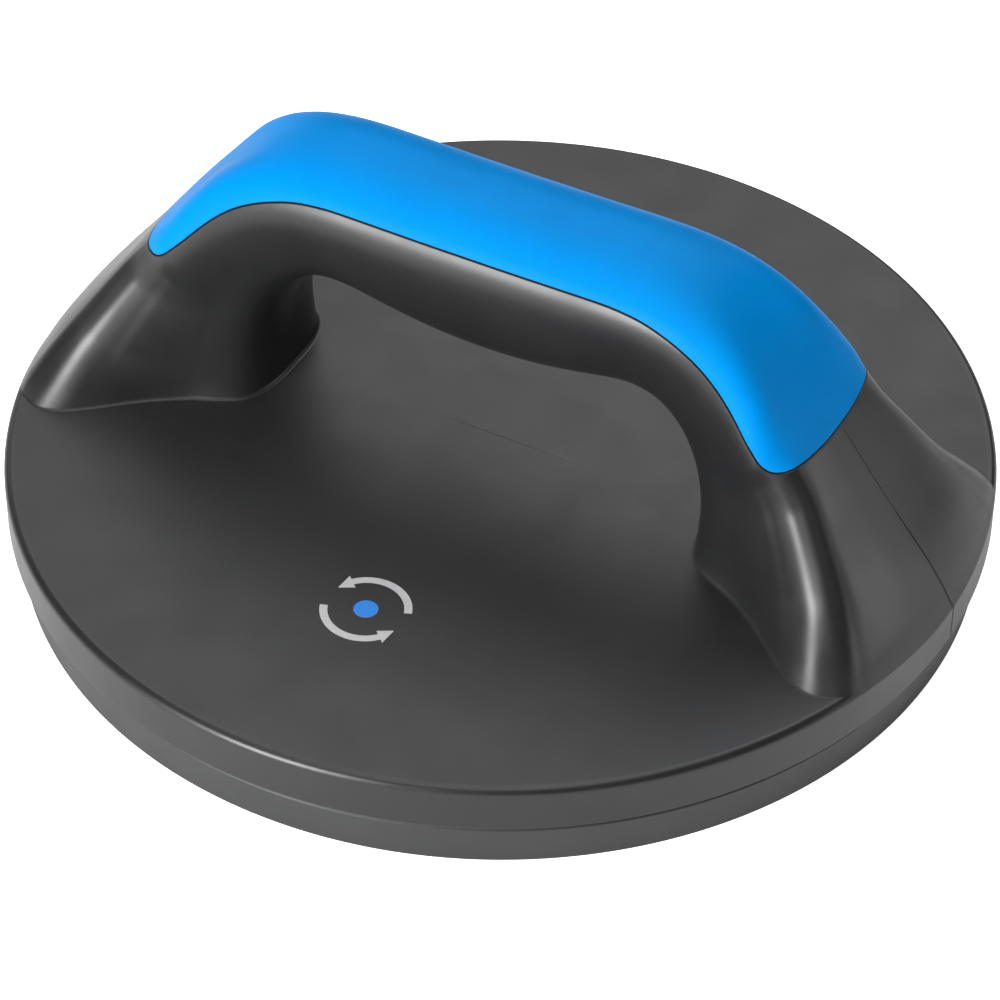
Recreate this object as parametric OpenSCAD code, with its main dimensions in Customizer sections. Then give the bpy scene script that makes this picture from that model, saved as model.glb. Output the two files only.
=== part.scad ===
// Rotating push-up handle.
// A hand arch stands on a disc that turns on a low base. The disc rides on a
// ring of steel balls and is held down by a shoulder bolt through the centre.
// Frame: +Z up, origin on the floor under the centre of the disc, arch along X.

/* [Disc] */
// Radius of the turning disc
disc_r = 140; // [138:0.5:142]
// Height of the disc's flat top above the floor
disc_top = 29.15; // [28.6:0.05:30]
// Height of the skirt's lower edge above the floor
skirt_z = 15.05; // [15:0.05:16]
// Thickness of the disc's plate
plate_t = 3; // [2.4:0.1:3.4]
// Rounding of the disc's top edge
edge_r = 2.2; // [1.5:0.1:2.6]

/* [Arch] */
// Height of the grip's crown above the floor
arch_top = 115.5; // [112:0.5:119]
// Underside of the grip at its middle
grip_under = 66; // [64:0.5:68]
// Wall thickness of the arch
wall = 3.2; // [2.6:0.1:3.6]
// Depth of the grip cover's edge below the outer contour
cover_depth = 6.6; // [6:0.1:7.4]
// Height of the grip cover's lower ends
cover_end = 76.4; // [74:0.2:80]
// Gap between grip cover and arch
cover_gap = 0.3; // [0.2:0.05:0.5]

/* [Base] */
// Radius of the base at its upper rim
base_r = 137.6; // [137:0.1:138]
// Radius of the base at its foot
foot_r = 136.3; // [135.5:0.1:137]
// Height of the base's upper rim
base_top = 14; // [13.5:0.1:14]
// How far the rubber treads stand below the base
tread_proud = 0.8; // [0.6:0.1:1.2]

/* [Bearing] */
// Radius of the ball circle
track_r = 105; // [104:0.5:106]
// Ball diameter
ball_d = 8; // [8:0.5:8]
// Number of balls
ball_n = 24; // [18:2:30]
// Radial play of a ball in its groove
groove_play = 0.3; // [0.2:0.05:0.4]
// Screws in each race
race_screws = 6; // [4:1:8]

/* [Pivot] */
// Shoulder radius of the pivot bolt
shoulder_r = 6; // [5.5:0.1:6.5]
// Running clearance of the shoulder in its bush
bush_play = 0.04; // [0.02:0.01:0.08]

/* [Hidden] */
$fn = 96;
ball_r = ball_d / 2;
ball_z = 15;                       // height of the ball centres
groove_r = ball_r + groove_play;
race_lo = [10, 13];                // lower race, bottom and top
race_hi = [17, 20];                // upper race, bottom and top
race_in = 93.5;
race_out = 110;
screw_r = 97.3;                    // circle of the race screws
plate_z = disc_top - plate_t;      // underside of the disc's plate
hub_ceiling = 10.5;                // top of the recess under the hub
hub_top = 14.5;
slab = [2.4, 5];                   // base floor, bottom and top
hook_x = [-36, 0, 36];             // places of the cover's snap hooks

// ---- hand arch: a smooth surface over a small net of stations ----
// Each station is one row: inner point x, z and outer point x, z in the centre
// plane. The stations run from the middle of the grip down to the foot.
STATIONS = [
    [0,    grip_under,       0,     arch_top],
    [17,   grip_under + 1,   21,    arch_top],
    [33,   grip_under + 4.5, 40,    arch_top],
    [45,   grip_under + 7.6, 55.5,  arch_top - 0.5],
    [56,   grip_under + 6.4, 70.5,  arch_top - 5.5],
    [63.5, 64,               84.5,  98.5],
    [67.2, 53.5,             96.5,  84.4],
    [68.3, 43.5,             109,   68.2],
    [67.8, 34,               122.8, 49.6],
    [67.5, 25.5,             135,   33],
    [67.5, 17,               146,   18],
    [67.5, 9,                157,   3]];
// Around a station, six net points each side: share of the way from inner to
// outer point, then half width; given at the grip, the shoulder and the foot.
SHARE = [
    [[0, 0], [12, 0]],
    [[0, 0.16], [3, 0.16], [5.5, 0.12], [8, 0.06], [9.5, 0.04], [12, 0.04]],
    [[0, 0.42], [3, 0.42], [5.5, 0.36], [8, 0.28], [9.5, 0.26], [12, 0.26]],
    [[0, 0.74], [3, 0.74], [5.5, 0.66], [8, 0.60], [9.5, 0.56], [12, 0.56]],
    [[0, 0.93], [3, 0.93], [5.5, 0.92], [8, 0.88], [9.5, 0.86], [12, 0.86]],
    [[0, 1], [12, 1]]];
HALF = [
    [[0, 7.3], [3, 7.3], [5.5, 8.5], [8, 10.5], [9.5, 11], [12, 11]],
    [[0, 15.6], [3, 15.6], [5.5, 18.5], [8, 21], [9.5, 22.5], [12, 22.5]],
    [[0, 20.6], [3, 20.6], [5.5, 21], [8, 24], [9.5, 28], [12, 28]],
    [[0, 23.4], [3, 23.4], [5.5, 24.5], [8, 36], [9.5, 44.5], [12, 44.5]],
    [[0, 17.6], [3, 17.6], [5.5, 25], [8, 47], [9.5, 61], [12, 61]],
    [[0, 8.2], [3, 8.2], [5.5, 13.5], [8, 31], [9.5, 44], [12, 44]]];
// How far the outer face bows round the disc's axis
BOW = [[0, 0], [4, 0], [6, 0.3], [8, 0.5], [12, 0.5]];

function net_point(i, j) =
    let (s = STATIONS[i],
         w = j == 0 ? 0 : j == 7 ? 1 : lookup(i, SHARE[j - 1]),
         y = j == 0 || j == 7 ? 0 : lookup(i, HALF[j - 1]),
         x = s[0] + (s[2] - s[0]) * w,
         z = s[1] + (s[3] - s[1]) * w)
    [x - lookup(i, BOW) * w * w * y * y / (2 * max(s[2], 60)), y, z];
HALFNET = [for (i = [0:11]) [for (j = [0:7]) net_point(i, j)]];
function flip_y(p) = [p[0], -p[1], p[2]];
function flip_x(p) = [-p[0], p[1], p[2]];
function ring(h) = [for (j = [0:13]) j <= 7 ? h[j] : flip_y(h[14 - j])];
NET = concat([[for (p = ring(HALFNET[1])) flip_x(p)]], [for (h = HALFNET) ring(h)]);
function basis(t) = [pow(1 - t, 3), 3 * t * t * t - 6 * t * t + 4,
                     -3 * t * t * t + 3 * t * t + 3 * t + 1, t * t * t] / 6;
// The net alone gives soft legs. These tables, read by u or by the distance from
// the crown line v = 7, make the leg's outer face flat with a tight crest at each
// side, narrow the leg's waist and spread its foot (mm, or shares from 0 to 1).
WAIST_U = [
    [5.6, 0], [6, 0.6], [6.5, 4.2], [7, 6.5], [7.5, 6.6], [8, 6.3], [8.5, 5.2], [8.75, 4.6], [9, 3.8],
    [9.25, 2.8], [9.5, 2.2], [12, 2.2]];
WAIST_V = [
    [0.4, 0], [0.6, 0.02], [0.8, 0.1], [1, 0.25], [1.2, 0.45], [1.4, 0.65], [1.6, 0.85], [1.9, 1],
    [2.2, 0.99], [2.5, 0.91], [2.8, 0.7], [3.1, 0.49], [3.4, 0.3], [3.8, 0.12], [4.2, 0.02], [4.5, 0],
    [7, 0]];
CREST_U = [
    [3.2, 0], [3.6, 0.2], [4, 0.6], [4.5, 1.4], [5, 1.8], [5.5, 1.4], [6, 1], [6.5, 1.3], [7, 1.8],
    [7.5, 2.1], [8, 2.2], [8.5, 2], [9, 1.2], [9.25, 0.3], [9.4, 0], [12, 0]];
CREST_V = [
    [0.2, 0], [0.4, 0.04], [0.6, 0.15], [0.8, 0.35], [1, 0.6], [1.2, 0.82], [1.4, 0.97], [1.6, 1],
    [1.8, 0.9], [2, 0.65], [2.2, 0.4], [2.4, 0.2], [2.6, 0.06], [2.8, 0], [7, 0]];
FACE_U = [
    [5.2, 0], [5.6, 0.3], [6, 0.6], [7, 0.6], [7.5, 0.7], [8, 1.1], [8.5, 1.4], [9, 0.9], [9.3, 0.2],
    [9.45, 0], [12, 0]];
FACE_V = [
    [0, 1], [0.4, 1], [0.7, 0.7], [1, 0.25], [1.25, 0], [7, 0]];
FLARE_V = [
    [0.8, 0], [1.2, 0.6], [1.6, 1.4], [1.8, 2.1], [2, 3.2], [2.25, 4.2], [2.5, 4.6], [2.75, 4.1], [3, 3.4],
    [3.25, 2.4], [3.5, 1.7], [4, 1.2], [4.4, 1.6], [4.8, 1.5], [5.2, 0.9], [5.8, 0], [7, 0]];
// Push of the foot away from the disc's axis, just above the rim
RIM_V = [
    [0, 1.1], [0.35, 0.85], [0.75, 0.48], [1, 0.4], [1.25, 0.7], [1.45, 1.45], [1.62, 1.75], [1.95, 0.7],
    [2.4, 0], [7, 0]];
// Direction of the face's push, x and z by u
FACE_NX = [
    [3, 0], [4, 0.07], [4.5, 0.24], [5, 0.45], [5.5, 0.63], [6, 0.73], [6.5, 0.78], [7.5, 0.81],
    [12, 0.81]];
FACE_NZ = [
    [3, 1], [4, 1], [4.5, 0.97], [5, 0.89], [5.5, 0.78], [6, 0.68], [6.5, 0.63], [7.5, 0.59], [12, 0.59]];
function ease(t) = let (c = min(max(t, 0), 1)) c * c * (3 - 2 * c);
function net_surface(u, v) =
    let (iu = min(floor(u), 9), bu = basis(u - iu),
         iv = floor(v), bv = basis(v - iv))
    [for (k = [0:2])
        sum4([for (a = [0:3]) bu[a] * sum4([for (b = [0:3])
            bv[b] * NET[iu + a][(iv + b + 13) % 14][k]])])];
// Point of the arch surface: u along from the middle, v around (7 = crown)
function half_arch(u, v) =
    let (vm = (v + 14) % 14, w = abs(vm - 7), p = net_surface(u, vm),
         dy = ease((u - 8.6) / 0.7) * lookup(w, FLARE_V) - lookup(u, WAIST_U) * lookup(w, WAIST_V),
         up = lookup(u, CREST_U) * lookup(w, CREST_V) + lookup(u, FACE_U) * lookup(w, FACE_V),
         q = [p[0] + up * lookup(u, FACE_NX), p[1] + (vm > 7 ? -dy : dy), p[2] + up * lookup(u, FACE_NZ)],
         out = ease((u - 8.45) / 0.85) * lookup(w, RIM_V) / max(norm([q[0], q[1]]), 1))
    [q[0] * (1 + out), q[1] * (1 + out), q[2]];
function sum4(q) = q[0] + q[1] + q[2] + q[3];
function arch_point(u, v) = u >= 0 ? half_arch(u, v) : flip_x(half_arch(-u, v));
function unit(q) = q / norm(q);
// The same surface moved inwards by d along its normal
function arch_inside(u, v, d) =
    let (e = 0.02,
         a = arch_point(u + e, v) - arch_point(u - e, v),
         b = arch_point(u, v + e) - arch_point(u, v - e))
    arch_point(u, v) - d * unit(cross(b, a));

module arch_solid(d, nu, nv, u_end = 9.6) {
    rows = 2 * nu;
    pts = [for (i = [0:rows]) for (j = [0:nv - 1])
        let (u = -u_end + i * 2 * u_end / rows, v = 14 * j / nv)
        d == 0 ? arch_point(u, v) : arch_inside(u, v, d)];
    cap_a = [-125, 0, pts[0][2] - 1];
    cap_b = [125, 0, pts[0][2] - 1];
    n = len(pts);
    faces = concat(
        [for (i = [0:rows - 1]) for (j = [0:nv - 1]) for (t = [0, 1])
            let (k = (j + 1) % nv, p = i * nv + j, q = i * nv + k,
                 r = (i + 1) * nv + k, s = (i + 1) * nv + j)
            t == 0 ? [p, r, q] : [p, s, r]],
        [for (j = [0:nv - 1]) [n, j, (j + 1) % nv]],
        [for (j = [0:nv - 1]) [n + 1, rows * nv + (j + 1) % nv, rows * nv + j]]);
    polyhedron(points = concat(pts, [cap_a, cap_b]), faces = faces);
}
// Side view of the cover's share of the arch: everything within depth d of the
// outer contour and above height z0
module cover_zone(d, z0) {
    n = 40; ue = 7.2;
    low = [for (i = [0:n]) let (p = arch_inside(-ue + 2 * ue * i / n, 7, d)) [p[0], p[2]]];
    rotate([90, 0, 0]) linear_extrude(height = 120, center = true)
        intersection() {
            polygon(concat(low, [[160, low[n][1] + 30], [160, 140], [-160, 140], [-160, low[0][1] + 30]]));
            translate([-150, z0]) square([300, 100]);
        }
}

// ---- small hardware ----
module race_screw(z_head, dir) {
    // countersunk, cross recess; z_head is the head's flat, dir +1 points up
    translate([screw_r, 0, z_head]) mirror([0, 0, dir > 0 ? 0 : 1]) difference() {
        rotate_extrude() polygon([[0, 0], [3, 0], [1.5, 1.8], [1.45, 1.8], [1.45, 8.1], [0, 8.9]]);
        for (a = [0, 90]) rotate([0, 0, a]) translate([-1.6, -0.3, -1]) cube([3.2, 0.6, 2]);
    }
}
module race_screw_holes(z0, z1, z_head, dir) {
    for (i = [0:race_screws - 1]) rotate([0, 0, 30 + i * 360 / race_screws]) translate([screw_r, 0, 0]) {
        translate([0, 0, z0]) cylinder(r = 1.75, h = z1 - z0);
        translate([0, 0, z_head]) mirror([0, 0, dir > 0 ? 0 : 1])
            rotate_extrude() polygon([[0, -1], [3.1, -1], [3.1, 0], [1.5, 1.9], [0, 1.9]]);
    }
}
module race(z, groove_z) {
    rotate_extrude() difference() {
        translate([race_in, z[0]]) square([race_out - race_in, z[1] - z[0]]);
        translate([track_r, groove_z]) circle(r = groove_r);
    }
}

// ---- base ----
module base_pan() color([0.16, 0.16, 0.17]) difference() {
    union() {
        // outer wall and inner lip, floor, race seat and hub, one turned body
        rotate_extrude() polygon([[17, tread_proud + 0.4], [24, tread_proud + 0.4], [24, slab[0]], [132.5, slab[0]],
            [132.5, tread_proud], [foot_r - 0.6, tread_proud], [foot_r, tread_proud + 0.6],
            [base_r, base_top - 0.8], [base_r - 0.8, base_top], [135.4, base_top], [135.4, 18.4], [134.9, 18.9],
            [133.9, 18.9], [133.4, 18.4], [133.4, slab[1]], [111.5, slab[1]], [111.5, race_lo[0]], [92, race_lo[0]],
            [92, slab[1]], [24, slab[1]], [24, hub_top], [8, hub_top], [8, hub_ceiling], [17, hub_ceiling]]);
        // ribs between hub, race seat and wall
        for (i = [0:11]) rotate([0, 0, 15 + i * 30]) {
            translate([23, -1.1, slab[1] - 0.5]) cube([70, 2.2, 4.5]);
            translate([111, -1.1, slab[1] - 0.5]) cube([23, 2.2, 4]);
        }
        // stiffening ring
        rotate_extrude() translate([58, slab[1] - 0.5]) square([2.2, 4.5]);
    }
    // pilot holes of the race screws
    for (i = [0:race_screws - 1]) rotate([0, 0, 30 + i * 360 / race_screws])
        translate([screw_r, 0, 3.6]) cylinder(r = 1.45, h = 8);
}
module tread(r0, r1, n) {
    // rubber ring with shallow concentric grooves on its foot
    g = (r1 - r0) / n;
    rotate_extrude() difference() {
        translate([r0, 0]) square([r1 - r0, slab[0]]);
        for (k = [1:n - 1]) translate([r0 + k * g, -0.01]) polygon([[-1, 0], [1, 0], [0.4, 0.91], [-0.4, 0.91]]);
    }
}
module outer_tread() color([0.1, 0.1, 0.1]) tread(112, 131, 4);
module inner_tread() color([0.1, 0.1, 0.1]) tread(42, 58, 4);
module lower_race() color([0.72, 0.73, 0.75]) difference() {
    race(race_lo, ball_z - ball_r - 0.015 + groove_r);
    race_screw_holes(race_lo[0] - 1, race_lo[1] + 1, race_lo[1] - 0.1, -1);
}
module lower_race_screws() color([0.6, 0.6, 0.62])
    for (i = [0:race_screws - 1]) rotate([0, 0, 30 + i * 360 / race_screws]) race_screw(race_lo[1] - 0.1, -1);
module pivot_bush() color([0.9, 0.88, 0.8]) rotate_extrude()
    polygon([[shoulder_r + bush_play, hub_ceiling], [8, hub_ceiling], [8, hub_top], [14, hub_top],
             [14, hub_top + 1.1], [13.6, hub_top + 1.5], [shoulder_r + bush_play, hub_top + 1.5]]);
module thrust_washer() color([0.9, 0.9, 0.88]) rotate_extrude()
    translate([6.6, hub_ceiling - 1]) square([15.8 - 6.6, 1]);
module hub_cap() color([0.12, 0.12, 0.13]) rotate_extrude()
    polygon([[0, tread_proud + 0.3], [19.6, tread_proud + 0.3], [20.2, tread_proud + 0.4 - 0.02], [17, tread_proud + 0.4 - 0.02],
             [16.95, 4.4], [15.4, 4.4], [15.4, 2.6], [0, 2.6]]);

// ---- ball bearing ----
module ball_cage() color([0.85, 0.85, 0.8]) difference() {
    rotate_extrude() polygon([[99, 13.9], [99.3, 13.6], [110.7, 13.6], [111, 13.9], [111, 16.1], [110.7, 16.4], [99.3, 16.4], [99, 16.1]]);
    for (i = [0:ball_n - 1]) rotate([0, 0, i * 360 / ball_n]) translate([track_r, 0, ball_z]) sphere(r = ball_r + 0.15);
}
module bearing_balls() color([0.8, 0.81, 0.83])
    for (i = [0:ball_n - 1]) rotate([0, 0, i * 360 / ball_n]) translate([track_r, 0, ball_z]) sphere(r = ball_r);

// ---- turning disc with the hand arch ----
module upper_shell() color([0.13, 0.13, 0.14]) {
    shell_body();
    // ledges that the cover's snap hooks catch under
    for (x = hook_x, s = [0, 1]) mirror([0, s, 0]) translate([x - 5, 14.9, 102.8]) cube([10, 5.6, 2]);
}
module shell_body() difference() {
    union() {
        // plate, skirt, race seat and centre boss
        rotate_extrude() {
            difference() {
                union() {
                    translate([0, plate_z]) square([disc_r - edge_r, plate_t]);
                    translate([disc_r - 3.2, skirt_z]) square([3.2, disc_top - edge_r - skirt_z]);
                    translate([disc_r - edge_r - 2, plate_z]) square([edge_r + 2, disc_top - edge_r - plate_z]);
                    translate([disc_r - edge_r, disc_top - edge_r]) circle(r = edge_r);
                    translate([92, race_hi[1]]) square([19.5, plate_z - race_hi[1] + 1]);
                    translate([0, 16.6]) square([13, plate_z - 16]);
                }
                // socket of the brass insert
                translate([-1, 16]) square([8.5, 10.1]);
            }
        }
        // ribs under the plate
        for (i = [0:11]) rotate([0, 0, i * 30]) {
            translate([12, -1.2, 21.5]) cube([81, 2.4, plate_z - 21]);
            translate([111, -1.2, 22]) cube([27, 2.4, plate_z - 21.5]);
        }
        // arch, opened on top for the grip cover
        intersection() {
            difference() {
                arch_solid(0, 22, 34);
                cover_zone(cover_depth + cover_gap / 2, cover_end - cover_gap / 2);
            }
            translate([0, 0, plate_z + 0.5]) cylinder(r = disc_r, h = 100);
        }
    }
    // hollow of the grip and legs, cored from above
    intersection() {
        arch_solid(wall, 14, 22);
        translate([-98, -60, disc_top + 1]) cube([196, 120, 100]);
    }
    // hollow of the outer legs, cored from below
    intersection() {
        arch_solid(wall, 14, 22);
        difference() {
            translate([0, 0, plate_z - 6]) cylinder(r = disc_r - 3.4, h = 60);
            cylinder(r = 114, h = 120);
        }
    }
    // pilot holes of the race screws
    for (i = [0:race_screws - 1]) rotate([0, 0, 30 + i * 360 / race_screws])
        translate([screw_r, 0, race_hi[1] - 2]) cylinder(r = 1.45, h = 8.3);
}
module grip_cover() color([0, 0.5, 0.9]) {
    difference() {
        intersection() {
            arch_solid(0, 22, 34);
            cover_zone(cover_depth - cover_gap / 2, cover_end + cover_gap / 2);
        }
        arch_solid(wall, 14, 22);
    }
    // snap hooks that reach down into the grip's hollow
    for (x = hook_x, s = [0, 1]) mirror([0, s, 0]) {
        translate([x - 4, 12.6, 100.5]) cube([8, 1.8, 10.5]);
        translate([x - 4, 14.3, 100.5]) cube([8, 1.1, 2]);
    }
}
module upper_race() color([0.72, 0.73, 0.75]) difference() {
    race(race_hi, ball_z + ball_r + 0.015 - groove_r);
    race_screw_holes(race_hi[0] - 1, race_hi[1] + 1, race_hi[0] + 0.1, 1);
}
module upper_race_screws() color([0.6, 0.6, 0.62])
    for (i = [0:race_screws - 1]) rotate([0, 0, 30 + i * 360 / race_screws]) race_screw(race_hi[0] + 0.1, 1);

// ---- pivot ----
module pivot_insert() color([0.8, 0.65, 0.3]) rotate_extrude()
    polygon([[4, 16.5], [7.1, 16.5], [7.5, 16.9], [7.5, 19.6], [7, 20], [7, 21.4], [7.5, 21.8], [7.5, 25.6], [7.1, 26], [4, 26]]);
module pivot_bolt() color([0.7, 0.7, 0.72]) difference() {
    rotate_extrude() polygon([[0, 3], [8.6, 3], [9.2, 3.6], [9.2, 7.2], [shoulder_r, 7.2], [shoulder_r, 16.5], [4, 16.5], [4, 24.4], [3.4, 25], [0, 25]]);
    translate([0, 0, 2]) cylinder(r = 3.46, h = 4.2, $fn = 6);
}
module steel_washer() color([0.75, 0.75, 0.77]) rotate_extrude()
    translate([shoulder_r + 0.2, 8]) square([14 - shoulder_r - 0.2, 1.48]);
module wave_washer() color([0.65, 0.65, 0.68]) {
    // three waves, pressed nearly flat
    n = 48; h = 0.22; a = 0.2; zc = 7.6;
    pts = concat([for (i = [0:n - 1]) for (q = [[6.4, -h / 2], [11, -h / 2], [11, h / 2], [6.4, h / 2]])
        [q[0] * cos(i * 360 / n), q[0] * sin(i * 360 / n), zc + q[1] + a * cos(3 * i * 360 / n)]]);
    polyhedron(points = pts, faces = [for (i = [0:n - 1]) for (k = [0:3]) for (t = [0, 1])
        let (j = (i + 1) % n, l = (k + 1) % 4, p = i * 4 + k, q = i * 4 + l, r = j * 4 + l, s = j * 4 + k)
        t == 0 ? [p, q, r] : [p, r, s]]);
}

base_pan();
outer_tread();
inner_tread();
lower_race();
lower_race_screws();
pivot_bush();
thrust_washer();
hub_cap();
ball_cage();
bearing_balls();
upper_shell();
grip_cover();
upper_race();
upper_race_screws();
pivot_insert();
pivot_bolt();
steel_washer();
wave_washer();
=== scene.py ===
import math

import bmesh
import bpy
import numpy as np
from mathutils import Matrix


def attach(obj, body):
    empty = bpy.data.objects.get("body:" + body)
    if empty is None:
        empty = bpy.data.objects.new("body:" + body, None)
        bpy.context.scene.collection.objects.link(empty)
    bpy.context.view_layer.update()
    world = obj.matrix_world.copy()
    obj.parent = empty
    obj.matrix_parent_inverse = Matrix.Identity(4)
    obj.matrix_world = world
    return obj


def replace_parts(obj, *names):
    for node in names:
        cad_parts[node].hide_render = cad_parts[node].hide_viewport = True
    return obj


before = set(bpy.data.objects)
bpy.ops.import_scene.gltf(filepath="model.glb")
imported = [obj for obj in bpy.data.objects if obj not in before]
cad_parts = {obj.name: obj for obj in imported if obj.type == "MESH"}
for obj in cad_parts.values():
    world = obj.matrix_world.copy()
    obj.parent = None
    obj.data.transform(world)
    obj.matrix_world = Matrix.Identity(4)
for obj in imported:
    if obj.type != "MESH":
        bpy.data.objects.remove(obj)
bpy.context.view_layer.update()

# ---------------------------------------------------------------- sizes (mm)
DISC_R, DISC_TOP, SKIRT_Z, EDGE_R = 140.0, 29.15, 15.05, 2.2
PLATE_Z = 26.15
R_OUT = DISC_R + 0.02          # radius where the arch's outer face ends
FILLET = 1.25                  # fillet between arch and disc
RIM_W = 0.3                    # half width of the rounding between face and skirt
GAP = 0.13                     # half gap between grip cover and arch
LIP = 0.35                     # rounding of both edges of that gap
COVER_T, RECESS = 2.7, 3.1     # thickness of the cover, depth of its seat


# ---------------------------------------------------------------- mesh tools
def mesh_object(name, verts, faces):
    me = bpy.data.meshes.new(name)
    me.from_pydata((np.asarray(verts, float) * 0.001).tolist(), [], [tuple(int(i) for i in f) for f in faces])
    me.validate()
    ob = bpy.data.objects.new(name, me)
    bpy.context.scene.collection.objects.link(ob)
    return ob


def tidy(ob, dist=1e-7):
    """Joins double points, drops empty faces and turns all faces outwards."""
    bm = bmesh.new()
    bm.from_mesh(ob.data)
    bmesh.ops.remove_doubles(bm, verts=bm.verts, dist=dist)
    bmesh.ops.dissolve_degenerate(bm, edges=bm.edges, dist=dist)
    bmesh.ops.recalc_face_normals(bm, faces=bm.faces)
    bm.to_mesh(ob.data)
    bm.free()
    return ob


def boolean(ob, other, how):
    """ob becomes ob UNION / DIFFERENCE other; other is used up."""
    m = ob.modifiers.new("cut", "BOOLEAN")
    m.object, m.operation, m.solver = other, how, "MANIFOLD"
    bpy.context.view_layer.update()
    dg = bpy.context.evaluated_depsgraph_get()
    new = bpy.data.meshes.new_from_object(ob.evaluated_get(dg))
    if not len(new.polygons):
        raise RuntimeError("empty result: " + ob.name + " " + how + " " + other.name)
    ob.modifiers.clear()
    old, ob.data = ob.data, new
    bpy.data.meshes.remove(old)
    used = other.data
    bpy.data.objects.remove(other)
    bpy.data.meshes.remove(used)
    return ob


def smooth(ob, angle=32.0):
    """Smooth shading with sharp edges above angle; large flat faces stay flat."""
    me = ob.data
    me.polygons.foreach_set("use_smooth", np.ones(len(me.polygons), bool))
    bm = bmesh.new()
    bm.from_mesh(me)
    lim = math.radians(angle)
    for e in bm.edges:
        e.smooth = len(e.link_faces) == 2 and e.calc_face_angle(0.0) < lim
    bm.to_mesh(me)
    bm.free()
    w = ob.modifiers.new("normals", "WEIGHTED_NORMAL")
    w.weight, w.keep_sharp = 50, True
    return ob


def rounded(points, seg=5):
    """A closed outline from (r, z, radius) corners; each corner with a radius becomes an arc."""
    out, n = [], len(points)
    for i in range(n):
        p = np.array(points[i][:2], float)
        rad = points[i][2] if len(points[i]) > 2 else 0
        if rad <= 0:
            out.append(tuple(p))
            continue
        a, b = np.array(points[i - 1][:2], float) - p, np.array(points[(i + 1) % n][:2], float) - p
        la, lb = np.linalg.norm(a), np.linalg.norm(b)
        a, b = a / la, b / lb
        half = math.acos(max(-1, min(1, float(a @ b)))) / 2
        t = min(rad / math.tan(half), 0.49 * la, 0.49 * lb)
        r = t * math.tan(half)
        c = p + (a + b) / np.linalg.norm(a + b) * (r / math.sin(half))
        s0, s1 = p + a * t - c, p + b * t - c
        a0 = math.atan2(s0[1], s0[0])
        d = (math.atan2(s1[1], s1[0]) - a0 + math.pi) % (2 * math.pi) - math.pi
        for k in range(seg + 1):
            g = a0 + d * k / seg
            out.append((c[0] + r * math.cos(g), c[1] + r * math.sin(g)))
    return out


def lathe(name, outline, n=240, shape=None):
    """Turned closed solid from a closed (r, z) outline. shape(r, z, angle) may change a point."""
    m = len(outline)
    verts = []
    for i in range(n):
        g = 2 * math.pi * i / n
        for r, z in outline:
            if shape:
                r, z = shape(r, z, g)
            verts.append((r * math.cos(g), r * math.sin(g), z))
    faces = []
    for i in range(n):
        j = (i + 1) % n
        for k in range(m):
            l = (k + 1) % m
            if outline[k][0] < 1e-9 and outline[l][0] < 1e-9:
                continue
            faces.append((i * m + k, j * m + k, j * m + l, i * m + l))
    return tidy(mesh_object(name, verts, faces))


def block(name, x0, x1, y0, y1, z0, z1, turn=0.0, slope=0.0):
    """A rib: a box with sides drafted by slope, turned about Z."""
    v = []
    for z, s in ((z0, 0.0), (z1, slope)):
        for x, y in ((x0, y0 + s), (x1, y0 + s), (x1, y1 - s), (x0, y1 - s)):
            v.append((x * math.cos(turn) - y * math.sin(turn), x * math.sin(turn) + y * math.cos(turn), z))
    f = [(0, 3, 2, 1), (4, 5, 6, 7), (0, 1, 5, 4), (1, 2, 6, 5), (2, 3, 7, 6), (3, 0, 4, 7)]
    return mesh_object(name, v, f)


def group(name, parts):
    """Several separate small solids as one object, used up by one cut."""
    bm = bmesh.new()
    for q in parts:
        bm.from_mesh(q.data)
        old = q.data
        bpy.data.objects.remove(q)
        bpy.data.meshes.remove(old)
    me = bpy.data.meshes.new(name)
    bm.to_mesh(me)
    bm.free()
    ob = bpy.data.objects.new(name, me)
    bpy.context.scene.collection.objects.link(ob)
    return ob


def turned(count, start, make):
    """make(angle) for count equal turns round Z, as one object."""
    return group("cutters", [make(math.radians(start + 360.0 * i / count)) for i in range(count)])


def pin(name, x, y, r, z0, z1, n=40):
    """A round cutter for a screw hole, standing at x, y, with a pointed tip."""
    v = [(x + r * math.cos(2 * math.pi * k / n), y + r * math.sin(2 * math.pi * k / n), z) for z in (z0, z1) for k in range(n)]
    v.append((x, y, z1 + r * 0.6))
    f = [tuple(range(n))[::-1]] + [(k, (k + 1) % n, n + (k + 1) % n, n + k) for k in range(n)]
    f += [(n + k, n + (k + 1) % n, 2 * n) for k in range(n)]
    return mesh_object(name, v, f)


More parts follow.
